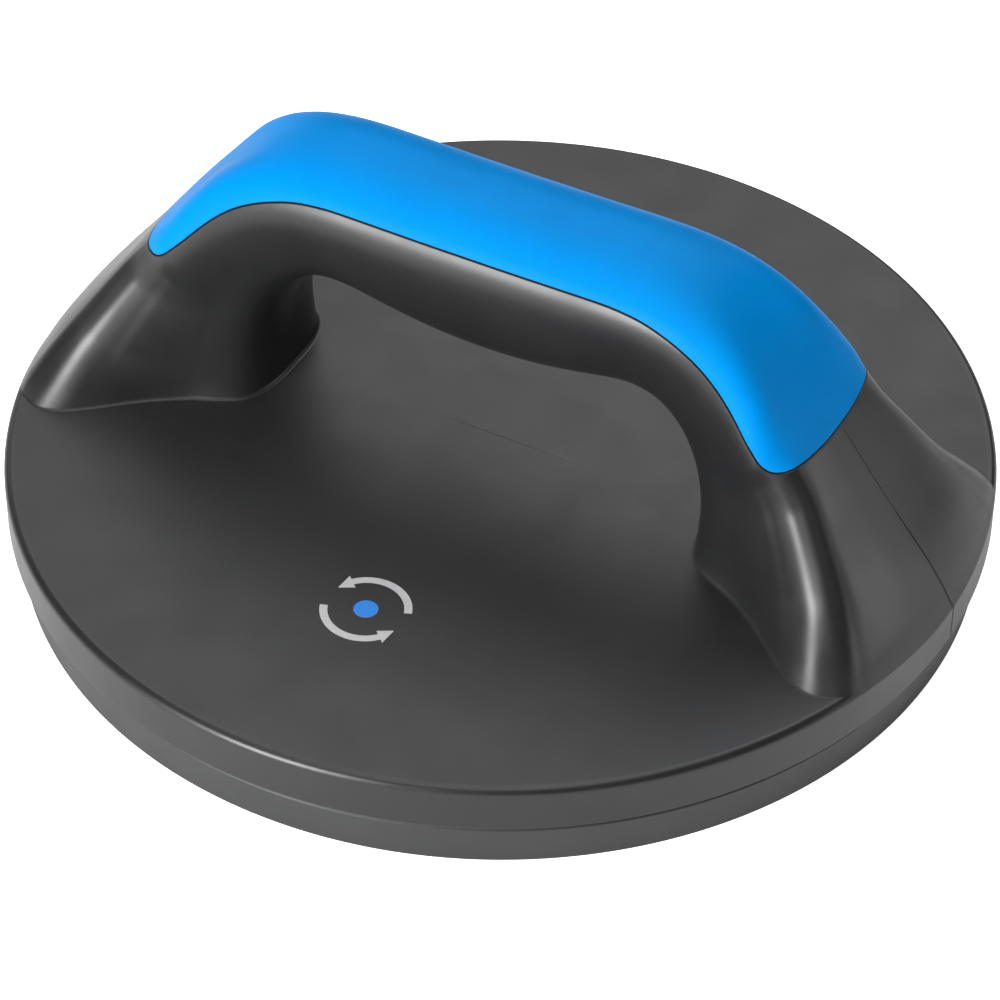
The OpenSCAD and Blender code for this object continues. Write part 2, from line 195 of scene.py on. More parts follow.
# ---------------------------------------------------------------- the hand arch as a smooth surface
ROWS = np.array([
    (0, 66.0, 0, 115.5), (17, 67.0, 21, 115.5), (33, 70.5, 40, 115.5), (45, 73.6, 55.5, 115.0),
    (56, 72.4, 70.5, 110.0), (63.5, 64.0, 84.5, 98.5), (67.2, 53.5, 96.5, 84.4), (68.3, 43.5, 109, 68.2),
    (67.8, 34.0, 122.8, 49.6), (67.5, 25.5, 135.0, 33.0), (67.5, 17.0, 146.0, 18.0), (67.5, 9.0, 157.0, 3.0)])
KEYS = [
    (0.0, [(0.0, 7.3), (0.16, 15.6), (0.42, 20.6), (0.74, 23.4), (0.93, 17.6), (1.0, 8.2)]),
    (3.0, [(0.0, 7.3), (0.16, 15.6), (0.42, 20.6), (0.74, 23.4), (0.93, 17.6), (1.0, 8.2)]),
    (5.5, [(0.0, 8.5), (0.12, 18.5), (0.36, 21.0), (0.66, 24.5), (0.92, 25.0), (1.0, 13.5)]),
    (8.0, [(0.0, 10.5), (0.06, 21.0), (0.28, 24.0), (0.60, 36.0), (0.88, 47.0), (1.0, 31.0)]),
    (9.5, [(0.0, 11.0), (0.04, 22.5), (0.26, 28.0), (0.56, 44.5), (0.86, 61.0), (1.0, 44.0)]),
    (12.0, [(0.0, 11.0), (0.04, 22.5), (0.26, 28.0), (0.56, 44.5), (0.86, 61.0), (1.0, 44.0)])]
BOW = [(0, 0), (4, 0.0), (6, 0.3), (8, 0.5), (12, 0.5)]


def build_net():
    n, ks = len(ROWS), [k[0] for k in KEYS]
    net = np.zeros((n, 8, 3))
    for i, (ix, iz, ox, oz) in enumerate(ROWS):
        b = np.interp(i, [a for a, _ in BOW], [c for _, c in BOW])
        for j in range(8):
            w, y = (0.0, 0.0) if j == 0 else (1.0, 0.0)
            if 0 < j < 7:
                w = np.interp(i, ks, [k[1][j - 1][0] for k in KEYS])
                y = np.interp(i, ks, [k[1][j - 1][1] for k in KEYS])
            net[i, j] = (ix + (ox - ix) * w - b * w * w * y * y / (2 * max(ox, 60)), y, iz + (oz - iz) * w)
    ring = np.concatenate([net, net[:, 6:0:-1] * np.array([1, -1, 1])], axis=1)
    return np.concatenate([ring[1:2] * np.array([-1, 1, 1]), ring], axis=0)


NET = build_net()


def basis(t):
    return np.array([(1 - t) ** 3, 3 * t ** 3 - 6 * t ** 2 + 4, -3 * t ** 3 + 3 * t ** 2 + 3 * t + 1, t ** 3]) / 6


# Small outward correction of the face just above the rim, by distance from the crown line v = 7
SHIFT = [(0.0, 1.1), (0.35, 0.85), (0.75, 0.48), (1.0, 0.40), (1.25, 0.70), (1.45, 1.45), (1.62, 1.75), (1.95, 0.7), (2.4, 0.0), (7.0, 0.0)]
# The leg's flat outer face and tight crest: how far the flank moves in and the crest moves out.
# First table of each pair by u (mm), second by distance from the crown line (share).
WAIST_U = [(5.6, 0.0), (6.0, 0.6), (6.5, 4.2), (7.0, 6.5), (7.5, 6.6), (8.0, 6.3), (8.5, 5.2), (8.75, 4.6), (9.0, 3.8), (9.25, 2.8), (9.5, 2.2), (12, 2.2)]
WAIST_V = [(0.4, 0), (0.6, 0.02), (0.8, 0.1), (1.0, 0.25), (1.2, 0.45), (1.4, 0.65), (1.6, 0.85), (1.9, 1.0), (2.2, 0.99), (2.5, 0.91),
           (2.8, 0.7), (3.1, 0.49), (3.4, 0.3), (3.8, 0.12), (4.2, 0.02), (4.5, 0), (7, 0)]
CREST_U = [(3.2, 0.0), (3.6, 0.2), (4.0, 0.6), (4.5, 1.4), (5.0, 1.8), (5.5, 1.4), (6.0, 1.0), (6.5, 1.3), (7.0, 1.8), (7.5, 2.1), (8.0, 2.2), (8.5, 2.0), (9.0, 1.2), (9.25, 0.3), (9.4, 0.0), (12, 0.0)]
CREST_V = [(0.2, 0), (0.4, 0.04), (0.6, 0.15), (0.8, 0.35), (1.0, 0.60), (1.2, 0.82), (1.4, 0.97), (1.6, 1.0), (1.8, 0.9), (2.0, 0.65),
           (2.2, 0.4), (2.4, 0.2), (2.6, 0.06), (2.8, 0), (7, 0)]
FLARE_V = [(0.8, 0), (1.2, 0.6), (1.6, 1.4), (1.8, 2.1), (2.0, 3.2), (2.25, 4.2), (2.5, 4.6), (2.75, 4.1), (3.0, 3.4), (3.25, 2.4),
           (3.5, 1.7), (4.0, 1.2), (4.4, 1.6), (4.8, 1.5), (5.2, 0.9), (5.8, 0.0), (7, 0)]
FACE_U = [(5.2, 0.0), (5.6, 0.3), (6.0, 0.6), (7.0, 0.6), (7.5, 0.7), (8.0, 1.1), (8.5, 1.4), (9.0, 0.9), (9.3, 0.2), (9.45, 0.0), (12, 0.0)]
FACE_V = [(0.0, 1.0), (0.4, 1.0), (0.7, 0.7), (1.0, 0.25), (1.25, 0.0), (7, 0)]
FACE_N = [(3.0, 0.0, 1.0), (4.0, 0.07, 1.0), (4.5, 0.24, 0.97), (5.0, 0.45, 0.89), (5.5, 0.63, 0.78), (6.0, 0.73, 0.68), (6.5, 0.78, 0.63), (7.5, 0.81, 0.59), (12.0, 0.81, 0.59)]


def curve(x, table):
    """Smooth interpolation through (x, value) pairs without overshoot."""
    t = np.array([q[:2] for q in table], float)
    a, b = t[:, 0], t[:, 1]
    h, d = np.diff(a), np.diff(b) / np.diff(a)
    m = np.zeros(len(a))
    same = d[1:] * d[:-1] > 0
    m[1:-1] = np.where(same, 2 * d[1:] * d[:-1] / np.where(same, d[1:] + d[:-1], 1), 0)
    x = np.clip(x, a[0], a[-1])
    i = np.clip(np.searchsorted(a, x, side="right") - 1, 0, len(h) - 1)
    s = (x - a[i]) / h[i]
    return (b[i] * (1 + 2 * s) * (1 - s) ** 2 + m[i] * h[i] * s * (1 - s) ** 2
            + b[i + 1] * s * s * (3 - 2 * s) - m[i + 1] * h[i] * s * s * (1 - s))


def P(u, v):
    """Point of the arch's surface. u runs along from the middle, v around; 7 is the crown, 0 the underside."""
    u, v = np.broadcast_arrays(np.asarray(u, float), np.asarray(v, float))
    s, a = np.where(u < 0, -1.0, 1.0), np.abs(u)
    iu = np.clip(np.floor(a).astype(int), 0, len(NET) - 4)
    vm = np.mod(v, 14)
    iv = np.floor(vm).astype(int)
    bu, bv = basis(a - iu), basis(vm - iv)
    out = 0
    for i in range(4):
        for j in range(4):
            out = out + (bu[i] * bv[j])[..., None] * NET[iu + i, (iv - 1 + j) % 14]
    out = out.copy()
    dv = np.abs(vm - 7)
    side = np.where(vm > 7, -1.0, 1.0)
    foot = np.clip((a - 8.0) / 1.35, 0, 1)
    foot = foot * foot * (3 - 2 * foot)
    out[..., 1] += side * (foot * curve(dv, FLARE_V) - curve(a, WAIST_U) * curve(dv, WAIST_V))
    lift = curve(a, CREST_U) * curve(dv, CREST_V) + curve(a, FACE_U) * curve(dv, FACE_V)
    out[..., 0] += lift * curve(a, FACE_N)
    out[..., 2] += lift * curve(a, [(q[0], q[2]) for q in FACE_N])
    k = np.clip((a - 7.9) / 1.4, 0, 1)
    k = k * k * (3 - 2 * k)
    d = np.interp(dv, [q[0] for q in SHIFT], [q[1] for q in SHIFT]) * k
    rr = np.maximum(np.hypot(out[..., 0], out[..., 1]), 1.0)
    out[..., 0] += d * out[..., 0] / rr
    out[..., 1] += d * out[..., 1] / rr
    out[..., 0] *= s
    return out


def N(u, v):
    e = 2e-3
    a = P(u + e, v) - P(u - e, v)
    b = P(u, v + e) - P(u, v - e)
    n = np.cross(b, a)
    return n / np.linalg.norm(n, axis=-1, keepdims=True)


def bisect(test, lo, hi, count):
    lo, hi = np.full(count, lo, float), np.full(count, hi, float)
    for _ in range(44):
        m = (lo + hi) / 2
        s = test(m)
        lo, hi = np.where(s, m, lo), np.where(s, hi, m)
    return (lo + hi) / 2


def drop(r):
    """How far the disc's top lies below its flat at radius r (the rounded rim)."""
    t = np.clip(r - (DISC_R - EDGE_R), 0, EDGE_R)
    return EDGE_R - np.sqrt(np.maximum(EDGE_R ** 2 - t ** 2, 0))


def soft_limit(r, limit, w):
    x = r - limit
    return limit + np.where(x < -w, x, np.where(x > w, 0.0, -(x - w) ** 2 / (4 * w)))


def arch_half(nv, nu, K=9):
    """Rows of points of one half of the arch (x > 0), from the middle down into the disc."""
    v = 14 * np.arange(nv) / nv
    zp = DISC_TOP + 0.012
    u0 = bisect(lambda u: P(u, v)[:, 2] > zp, 6, 9.99, nv)
    f = P(u0, v)
    n = N(u0, v)
    r0 = np.hypot(f[:, 0], f[:, 1])
    dv = np.abs(v - 7)
    rim = dv < 1.68
    # fillet on the disc's flat; it shrinks towards the rim
    beta = np.arccos(np.clip(n[:, 2], -1, 1))
    rho = FILLET * np.clip((dv - 1.5) / 0.7, 0.12, 1)
    rise = rho * np.tan(beta / 2) * np.sin(beta)
    ua = bisect(lambda u: P(u, v)[:, 2] > zp + rise, 6, 9.99, nv)
    # rounding between face and skirt
    ur = bisect(lambda u: np.hypot(P(u, v)[:, 0], P(u, v)[:, 1]) < R_OUT - RIM_W, 6, 9.999, nv)
    us = bisect(lambda u: np.hypot(P(u, v)[:, 0], P(u, v)[:, 1]) < R_OUT + RIM_W, 6, 9.999, nv)
    uq = np.where(rim, ur, ua)
    rows = [P(np.full(nv, 0.0) + uq * s, v) for s in (np.arange(nu + 1) / nu) ** 1.0]
    q, nq = rows[-1], N(uq, v)
    m = np.stack([nq[:, 0], nq[:, 1], 0 * v], 1)
    m /= np.linalg.norm(m, axis=1, keepdims=True)
    bq = np.arccos(np.clip(nq[:, 2], -1, 1))
    d = m * np.cos(bq)[:, None] - np.array([0, 0, 1.0]) * np.sin(bq)[:, None]
    up = m * np.sin(bq)[:, None] + np.array([0, 0, 1.0]) * np.cos(bq)[:, None]
    for k in range(1, K + 1):
        th = bq * k / K
        a = q + rho[:, None] * (np.sin(th)[:, None] * d + (1 - np.cos(th))[:, None] * up)
        a[:, 2] += (zp - (q[:, 2] - rise)) * k / K
        a[:, 2] -= drop(np.hypot(a[:, 0], a[:, 1])) * (k / K)
        b = P(ur + (us - ur) * k / K, v)
        rb = np.hypot(b[:, 0], b[:, 1])
        lim = soft_limit(rb, R_OUT, RIM_W)
        b = b * np.stack([lim / rb, lim / rb, 1 + 0 * rb], 1)
        rows.append(np.where(rim[:, None], b, a))
    e = rows[-1]
    re = np.hypot(e[:, 0], e[:, 1])
    for zr, zpl, inset in ((24.6, 28.3, 0.0), (24.6, 27.9, 2.2), (27.5, 27.5, 2.4)):
        g = e.copy()
        g[:, 2] = np.where(rim, zr, np.minimum(zpl, e[:, 2] - (28.9 - zpl) * 0.5))
        if zpl == 27.5:
            g[:, 2] = 27.5
        r1 = np.where(rim, re - inset, np.minimum(re, DISC_R - 0.3 - inset))
        g[:, 0] *= r1 / re
        g[:, 1] *= r1 / re
        rows.append(g)
    info = {"rim": rim, "v": v, "r0": r0, "phi0": np.degrees(np.arctan2(f[:, 1], f[:, 0]))}
    return np.array(rows), info


def arch_solid(name, nv, nu):
    half, info = arch_half(nv, nu)
    other = half[1:][::-1] * np.array([-1, 1, 1])
    grid = np.concatenate([other, half], axis=0)
    n, m = grid.shape[0], grid.shape[1]
    faces = [(i * m + j, i * m + (j + 1) % m, (i + 1) * m + (j + 1) % m, (i + 1) * m + j) for i in range(n - 1) for j in range(m)]
    faces += [tuple(range(m))[::-1], tuple((n - 1) * m + j for j in range(m))]
    return tidy(mesh_object(name, grid.reshape(-1, 3), faces)), info


# ---------------------------------------------------------------- outline of the grip cover on that surface
SIDE = [(0, 2.46), (1.2, 2.47), (2.2, 2.49), (2.6, 2.52), (3.0, 2.545), (3.45, 2.57), (3.9, 2.545), (4.36, 2.49),
        (4.76, 2.455), (5.16, 2.42), (5.6, 2.35), (5.85, 2.26), (6.08, 2.18), (6.26, 2.06), (6.35, 1.91),
        (6.41, 1.62), (6.445, 1.2), (6.485, 0.62), (6.505, 0.25)]


def outline_half(step=0.9):
    pts = np.array(SIDE, float)
    x = np.concatenate([[0], np.cumsum(np.linalg.norm(np.diff(P(pts[:, 0], 7 - pts[:, 1]), axis=0), axis=1))])
    fine = np.linspace(0, x[-1], 900)
    a = np.stack([np.interp(fine, x, pts[:, 0]), np.interp(fine, x, pts[:, 1])], 1)
    ext = np.concatenate([(a[1:80] * [-1, 1])[::-1], a, (a[-81:-1][::-1] * [1, -1] + [0, 2 * a[-1, 1]])])
    for _ in range(260):
        ext[1:-1] = (ext[:-2] + 2 * ext[1:-1] + ext[2:]) / 4
    b = ext[79:79 + len(a)]
    b[0, 0] = 0.0
    s = np.concatenate([[0], np.cumsum(np.linalg.norm(np.diff(P(b[:, 0], 7 - b[:, 1]), axis=0), axis=1))])
    n = int(s[-1] / step)
    t = np.linspace(0, s[-1], n)
    u, w = np.interp(t, s, b[:, 0]), np.interp(t, s, b[:, 1])
    return np.maximum.accumulate(u + np.arange(n) * 1e-7), w


HALF_U, HALF_W = outline_half()
COLS = 72
SPREAD = np.sin(np.linspace(-1, 1, COLS + 1) * 1.15) / math.sin(1.15)


def cover_grid(inset):
    """(u, v) grid over the cover's outline, moved inwards by inset mm, and the order of its border."""
    u = np.concatenate([-HALF_U[::-1][:-1], HALF_U])
    w = np.concatenate([HALF_W[::-1][:-1], HALF_W])
    n = len(u)
    U = np.repeat(u[:, None], COLS + 1, 1)
    V = 7 + w[:, None] * SPREAD[None, :]
    idx = [(0, j) for j in range(COLS + 1)] + [(i, COLS) for i in range(1, n)] \
        + [(n - 1, j) for j in range(COLS - 1, -1, -1)] + [(i, 0) for i in range(n - 2, 0, -1)]
    I, J = np.array([a for a, _ in idx]), np.array([b for _, b in idx])
    bu, bv = U[I, J], V[I, J]
    p, nn = P(bu, bv), N(bu, bv)
    t = np.roll(p, -1, 0) - np.roll(p, 1, 0)
    t /= np.linalg.norm(t, axis=1, keepdims=True)
    e = np.cross(t, nn)
    e /= np.linalg.norm(e, axis=1, keepdims=True)
    mid = P(np.array([0.0]), np.array([7.0]))[0]
    k = len(idx) // 4
    side = COLS + (n // 2)
    if e[side] @ (p[side] - mid) < 0:
        e = -e
    h = 1e-3
    su, sv = (P(bu + h, bv) - P(bu - h, bv)) / (2 * h), (P(bu, bv + h) - P(bu, bv - h)) / (2 * h)
    g11, g12, g22 = (su * su).sum(1), (su * sv).sum(1), (sv * sv).sum(1)
    r1, r2 = -(su * e).sum(1) * inset, -(sv * e).sum(1) * inset
    det = g11 * g22 - g12 * g12
    du, dv = (r1 * g22 - r2 * g12) / det, (r2 * g11 - r1 * g12) / det
    bu2, bv2 = bu + du, bv + dv
    U2, V2 = U.copy(), V.copy()
    U2[I, J], V2[I, J] = bu2, bv2
    for i in range(1, n - 1):
        U2[i] = U2[i, 0] + (U2[i, COLS] - U2[i, 0]) * (SPREAD + 1) / 2
        V2[i] = V2[i, 0] + (V2[i, COLS] - V2[i, 0]) * (SPREAD + 1) / 2
    return U2, V2, I, J, e


def shell_between(name, top, bottom, loops, I, J):
    """Closed solid: grid top, then border loops downwards, then grid bottom."""
    n, m = top.shape[:2]
    verts = [top.reshape(-1, 3)]
    base = n * m
    L = len(I)
    faces = [(i * m + j, (i + 1) * m + j, (i + 1) * m + j + 1, i * m + j + 1) for i in range(n - 1) for j in range(m - 1)]
    prev = I * m + J
    for lp in loops:
        verts.append(lp)
        cur = base + np.arange(L)
        faces += [(prev[k], prev[(k + 1) % L], cur[(k + 1) % L], cur[k]) for k in range(L)]
        prev, base = cur, base + L
    verts.append(bottom.reshape(-1, 3))
    cur = base + I * m + J
    faces += [(prev[k], prev[(k + 1) % L], cur[(k + 1) % L], cur[k]) for k in range(L)]
    faces += [(base + i * m + j, base + i * m + j + 1, base + (i + 1) * m + j + 1, base + (i + 1) * m + j) for i in range(n - 1) for j in range(m - 1)]
    return tidy(mesh_object(name, np.concatenate(verts), faces))


def make_cover(name):
    U, V, I, J, e = cover_grid(GAP + LIP)
    top = P(U, V)
    b, n = top[I, J], N(U[I, J], V[I, J])
    loops = []
    for k in range(1, 8):
        t = math.pi / 2 * k / 7
        loops.append(b + e * (LIP * math.sin(t)) - n * (LIP * (1 - math.cos(t))))
    loops.append(b + e * LIP - n * (COVER_T - 0.3))
    loops.append(b + e * (LIP - 0.25) - n * COVER_T)
    U2, V2, I2, J2, e2 = cover_grid(GAP + 0.6)
    return shell_between(name, top, P(U2, V2) - N(U2, V2) * COVER_T, loops, I, J)


def cover_cutter(name):
    U, V, I, J, e = cover_grid(-GAP)
    floor = P(U, V) - N(U, V) * RECESS
    b, n = P(U, V)[I, J], N(U[I, J], V[I, J])
    loops = []
    for k in range(7, -1, -1):
        t = math.pi / 2 * (k / 7) * 0.965
        loops.append(b + e * (LIP * (1 - math.cos(t))) - n * (LIP * (1 - math.sin(t))))
    loops.insert(0, b + e * (LIP + 0.25) + n * 2.5)
    U3, V3, I3, J3, e3 = cover_grid(-GAP)
    top = P(U3, V3) + N(U3, V3) * 2.5
    return shell_between(name, top, floor, loops, I, J)


# ---------------------------------------------------------------- upper shell
arch, ARCH = arch_solid("upper_shell_skin", 308, 210)

# height of the face at the skirt's radius, by angle round the disc
FACE_PHI = np.array([0, 4, 8, 12, 15, 17, 19, 20.5, 22, 24])
FACE_Z = np.array([26.3, 26.4, 26.7, 27.1, 27.5, 27.9, 28.6, 29.6, 31.0, 34.0])


def disc_shape(r, z, g):
    if r < DISC_R - EDGE_R - 0.01 or z < 26.0:
        return r, z
    a = abs((math.degrees(g) + 90) % 180 - 90)
    zf = np.interp(a, FACE_PHI, FACE_Z)
    return r, max(min(z, zf + 1.36 * (DISC_R - r) - 0.55), 25.2)


disc_outline = [(0, DISC_TOP), (DISC_R - EDGE_R, DISC_TOP)]
for k in range(1, 13):
    t = math.pi / 2 * k / 12
    disc_outline.append((DISC_R - EDGE_R + EDGE_R * math.sin(t), DISC_TOP - EDGE_R + EDGE_R * math.cos(t)))
disc_outline += [(DISC_R, 25.0)]
disc_outline += rounded([(DISC_R, 20.0), (DISC_R, SKIRT_Z, 0.6), (DISC_R - 3.2, SKIRT_Z, 0.5), (DISC_R - 3.2, 24.0, 0.5), (DISC_R - 4.6, PLATE_Z, 0.6),
                         (111.5, PLATE_Z, 0.5), (111.5, 20.0, 0.4), (92.0, 20.0, 0.4), (92.0, PLATE_Z, 0.5),
                         (13.0, PLATE_Z, 0.5), (13.0, 16.6, 0.4), (7.5, 16.6), (7.5, 26.1), (0, 26.1)], 4)
shell = lathe("upper_shell_visual", disc_outline, 720, disc_shape)


def flatten_top(ob, z=DISC_TOP):
    """The turned disc's flat top becomes one face."""
    bm = bmesh.new()
    bm.from_mesh(ob.data)
    zz = z * 0.001
    flat = [f for f in bm.faces if all(abs(q.co.z - zz) < 1e-7 for q in f.verts)]
    bmesh.ops.dissolve_faces(bm, faces=flat, use_verts=True)
    bm.to_mesh(ob.data)
    bm.free()


flatten_top(shell)
boolean(shell, turned(12, 0, lambda g: block("rib", 12.6, 92.6, -1.2, 1.2, 21.5, PLATE_Z + 0.6, g)), "UNION")
boolean(shell, turned(12, 0, lambda g: block("rib", 111.0, 137.4, -1.2, 1.2, 22.0, PLATE_Z + 0.6, g)), "UNION")
boolean(shell, turned(6, 30, lambda g: pin("hole", 97.3 * math.cos(g), 97.3 * math.sin(g), 1.52, 18.0, 26.4)), "DIFFERENCE")
boolean(shell, arch, "UNION")
boolean(shell, cover_cutter("cover_seat"), "DIFFERENCE")


def groove(name, path, normals, half, depth):
    """A thin V cutter in the plane y = 0 along a path of (x, z)."""
    v = []
    for (x, z), (nx, nz), w, d in zip(path, normals, half, depth):
        out = 0.9
        top = 0.02 + (w - 0.02) * (d + out) / d
        v += [(x + nx * out, top, z + nz * out), (x + nx * out, -top, z + nz * out), (x - nx * d, -0.02, z - nz * d), (x - nx * d, 0.02, z - nz * d)]
    n = len(path)
    f = [(i * 4 + k, i * 4 + (k + 1) % 4, (i + 1) * 4 + (k + 1) % 4, (i + 1) * 4 + k) for i in range(n - 1) for k in range(4)]
    f += [(3, 2, 1, 0), tuple((n - 1) * 4 + k for k in range(4))]
    return tidy(mesh_object(name, v, f))


def face_groove(side):
    """Parting line from the cover's end down the outer face and the skirt."""
    u = np.linspace(6.56, 9.40, 60)
    p = P(u, 7.0 + 0 * u)
    keep = p[:, 0] < DISC_R - 0.15
    p, u = p[keep], u[keep]
    n = N(u, 7.0 + 0 * u)
    path = [(a[0], a[2]) for a in p]
    nor = [(a[0] / math.hypot(a[0], a[2]), a[2] / math.hypot(a[0], a[2])) for a in n]
    half = [0.16] * len(path)
    depth = [0.10] * len(path)
    for i in range(len(path)):
        t = max(0.0, (path[i][0] - 118) / 22)
        half[i] = 0.16 + 0.22 * t
        depth[i] = 0.10 + 0.4 * t
    path += [(DISC_R, 25.6), (DISC_R, 20.0), (DISC_R, 14.0)]
    nor += [(1.0, 0.0)] * 3
    half += [0.42] * 3
    depth += [0.6] * 3
    path = [(a * side, b) for a, b in path]
    nor = [(a * side, b) for a, b in nor]
    return groove("parting", path, nor, half, depth)


boolean(shell, group("parting", [face_groove(1), face_groove(-1), groove(
    "parting", [(-66.2, DISC_TOP), (0, DISC_TOP), (66.2, DISC_TOP)], [(0, 1)] * 3, [0.14] * 3, [0.09] * 3)]), "DIFFERENCE")
shell.name = shell.data.name = "upper_shell_visual"
smooth(shell, 34)
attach(shell, "rotor")
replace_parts(shell, "upper_shell")

cover = make_cover("grip_cover_visual")
smooth(cover, 40)
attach(cover, "rotor")
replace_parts(cover, "grip_cover")

# ---------------------------------------------------------------- base
base_outline = rounded([
    (17, 1.2, 0.2), (24, 1.2), (24, 2.4), (132.5, 2.4), (132.5, 0.8, 0.25), (135.6, 0.15, 0.3), (136.9, 0.15, 0.5),
    (138.3, 12.6, 0.5), (137.7, 13.25, 0.3), (135.4, 13.25, 0.3), (135.4, 18.9, 0.45), (133.4, 18.9, 0.45), (133.4, 5.0, 0.6),
    (111.5, 5.0, 0.4), (111.5, 10.0, 0.4), (92, 10.0, 0.4), (92, 5.0, 0.5), (24, 5.0, 0.5), (24, 14.5, 0.5),
    (8, 14.5), (8, 10.5), (17, 10.5)], 4)
base = lathe("base_pan_visual", base_outline, 480)
boolean(base, turned(12, 15, lambda g: block("rib", 23.3, 92.4, -1.1, 1.1, 4.4, 9.0, g, 0.1)), "UNION")
boolean(base, turned(12, 15, lambda g: block("rib", 111.2, 133.7, -1.1, 1.1, 4.4, 8.5, g, 0.1)), "UNION")
boolean(base, lathe("ring", [(58.0, 4.4), (60.2, 4.4), (60.1, 9.0), (58.1, 9.0)], 240), "UNION")
boolean(base, turned(6, 30, lambda g: pin("hole", 97.3 * math.cos(g), 97.3 * math.sin(g), 1.52, 3.6, 11.0)), "DIFFERENCE")
base.name = base.data.name = "base_pan_visual"
smooth(base, 34)
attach(base, "base")
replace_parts(base, "base_pan")


def tread(name, r0, r1, n, studs):
    """Rubber ring: lands between V grooves, cut across by shallow sipes."""
    g = (r1 - r0) / n
    o = [(r1, 2.4, 0.05), (r0, 2.4, 0.05), (r0, 0.0, 0.35)]
    for k in range(1, n):
        c = r0 + k * g
        o += [(c - 1.0, 0.0, 0.18), (c - 0.4, 0.9, 0.12), (c + 0.4, 0.9, 0.12), (c + 1.0, 0.0, 0.18)]
    o += [(r1, 0.0, 0.35)]
    ob = lathe(name, rounded(o, 3), 360)
    boolean(ob, turned(studs, 0, lambda a: block("sipe", r0 - 2, r1 + 2, -0.45, 0.45, -1.0, 0.55, a, 0.12)), "DIFFERENCE")
    ob.name = ob.data.name = name
    smooth(ob, 34)
    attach(ob, "base")
    return ob


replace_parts(tread("outer_tread_visual", 112.0, 131.0, 4, 36), "outer_tread")
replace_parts(tread("inner_tread_visual", 42.0, 58.0, 4, 18), "inner_tread")

cap = lathe("hub_cap_visual", rounded([(0, 1.25), (4.0, 1.25), (4.6, 1.1, 0.3), (19.4, 1.1, 0.35), (20.15, 1.18), (17.0, 1.2), (16.95, 4.4, 0.15), (15.4, 4.4, 0.15),
                                       (15.4, 2.6, 0.3), (0, 2.6)], 4), 160)
smooth(cap, 34)
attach(cap, "base")
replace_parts(cap, "hub_cap")


# ---------------------------------------------------------------- generic pad print: two turning arrows
def turn_arrow(a0, a1, r0, r1, head, n=40):
    """Flat outline of a bent arrow from angle a0 to a1 (degrees)."""
    pts = [(r1, a0 + (a1 - a0) * k / n) for k in range(n + 1)]
    c = (r0 + r1) / 2
    h = math.degrees(head / c) * (1 if a1 > a0 else -1)
    pts += [(r1 + (r1 - r0) * 0.62, a1), (c, a1 + h), (r0 - (r1 - r0) * 0.62, a1)]
    pts += [(r0, a1 + (a0 - a1) * k / n) for k in range(n + 1)]
    return [(r * math.cos(math.radians(a)), r * math.sin(math.radians(a))) for r, a in pts]


def print_piece(name, outlines, centre, turn, squeeze, z0, z1):
    """Thin closed slabs, like ink, standing on the disc's top."""
    verts, faces = [], []
    c, s = math.cos(turn), math.sin(turn)
    for o in outlines:
        k, n = len(verts), len(o)
        for z in (z0, z1):
            for x, y in o:
                y = y * squeeze
                verts.append((centre[0] + c * x - s * y, centre[1] + s * x + c * y, z))
        faces += [tuple(k + i for i in range(n))[::-1], tuple(k + n + i for i in range(n))]
        faces += [(k + i, k + (i + 1) % n, k + n + (i + 1) % n, k + n + i) for i in range(n)]
    ob = mesh_object(name, verts, faces)
    bm = bmesh.new()
    bm.from_mesh(ob.data)
    bmesh.ops.triangulate(bm, faces=[f for f in bm.faces if len(f.verts) > 4])
    bmesh.ops.recalc_face_normals(bm, faces=bm.faces)
    bm.to_mesh(ob.data)
    bm.free()
    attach(ob, "rotor")
    return ob


def disc_outline_pts(r, n=48):
    return [(r * math.cos(2 * math.pi * k / n), r * math.sin(2 * math.pi * k / n)) for k in range(n)]


MARK = (2.0, -80.0)
mark_grey = print_piece("print_arrows", [turn_arrow(200, 318, 10.4, 12.6, 4.6), turn_arrow(20, 138, 10.4, 12.6, 4.6)], MARK, math.radians(0), 1.0, DISC_TOP - 0.02, DISC_TOP + 0.03)
mark_blue = print_piece("print_dot", [disc_outline_pts(3.4)], MARK, 0.0, 1.0, DISC_TOP - 0.02, DISC_TOP + 0.03)


# ---------------------------------------------------------------- materials
def new_material(name):
    m = bpy.data.materials.new(name)
    m.use_nodes = True
    nt = m.node_tree
    bsdf = next(n for n in nt.nodes if n.type == "BSDF_PRINCIPLED")
    return m, nt, bsdf


def node(nt, kind, **values):
    n = nt.nodes.new(kind)
    for k, v in values.items():
        if k.startswith("in_"):
            key = k[3:].replace("_", " ")
            n.inputs[key].default_value = v
        else:
            setattr(n, k, v)
    return n


def noise(nt, coord, scale, detail=3.0, rough=0.55):
    n = node(nt, "ShaderNodeTexNoise", in_Scale=scale, in_Detail=detail, in_Roughness=rough)
    nt.links.new(coord, n.inputs["Vector"])
    return n.outputs["Fac"]


def spread(nt, value, a, b, c, d):
    n = node(nt, "ShaderNodeMapRange")
    nt.links.new(value, n.inputs["Value"])
    for key, x in (("From Min", a), ("From Max", b), ("To Min", c), ("To Max", d)):
        n.inputs[key].default_value = x
    return n.outputs["Result"]


def mix_colour(nt, fac, a, b):
    n = node(nt, "ShaderNodeMix", data_type="RGBA")
    nt.links.new(fac, n.inputs["Factor"]) if not isinstance(fac, float) else setattr(n.inputs["Factor"], "default_value", fac)
    for key, x in (("A", a), ("B", b)):
        s = [i for i in n.inputs if i.name == key and i.type == "RGBA"][0]
        if isinstance(x, tuple):
            s.default_value = x
        else:
            nt.links.new(x, s)
    return [o for o in n.outputs if o.type == "RGBA"][0]


